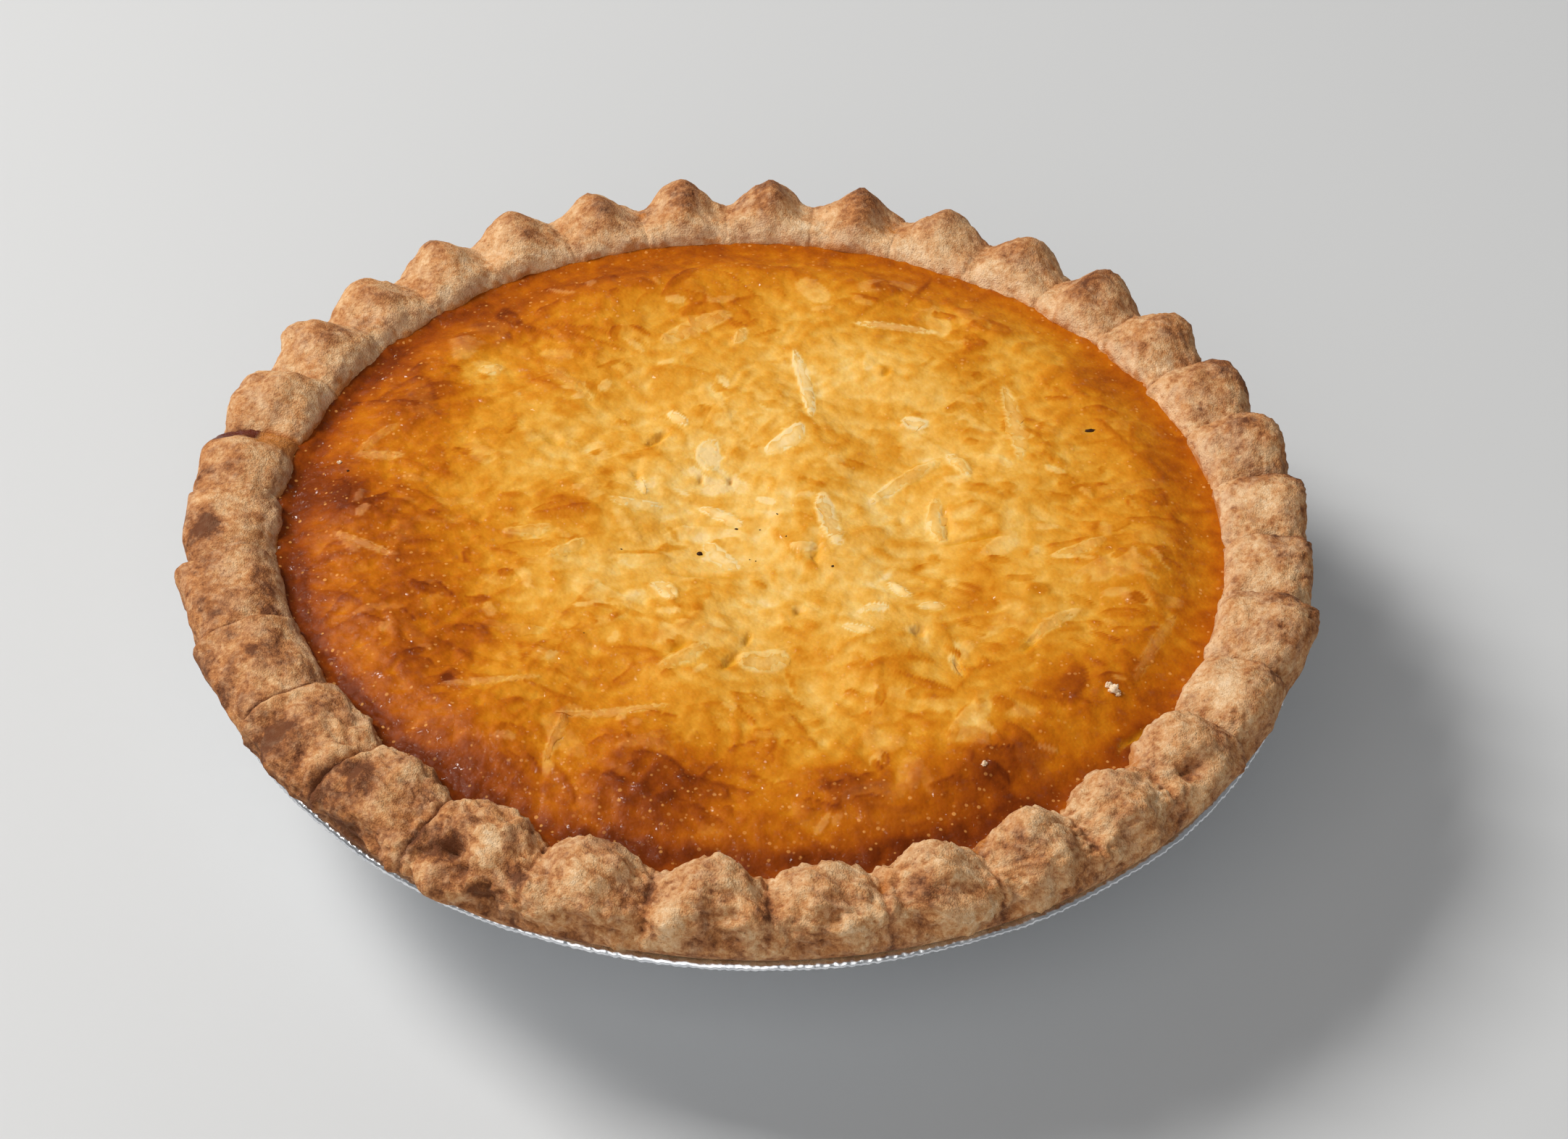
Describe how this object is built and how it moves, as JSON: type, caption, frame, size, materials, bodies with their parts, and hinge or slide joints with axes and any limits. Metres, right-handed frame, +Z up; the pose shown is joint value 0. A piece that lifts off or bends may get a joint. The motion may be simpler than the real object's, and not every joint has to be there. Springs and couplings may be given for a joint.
{
  "type": "coconut custard pie",
  "caption": "Small round custard pie with coconut shreds baked into its skin, a fluted pastry rim and a pleated foil tin.",
  "frame": {"origin": "middle of the tin's flat underside, where the pie rests", "axes": "+Z up through the middle of the pie, -Y towards the viewer of the picture, +X to the viewer's right"},
  "size_m": [0.1531, 0.1535, 0.0369],
  "materials": {
    "foil": "bright rolled foil, finely pleated",
    "pastry": "dry baked pastry, mottled and floury, darker on the tops of the flutes",
    "custard": "moist baked skin, pale yellow in the middle and brown at the edge"
  },
  "bodies": {
    "root": {"foil_tin": "foil", "crust": "pastry", "filling": "custard"}
  },
  "joints": []
}
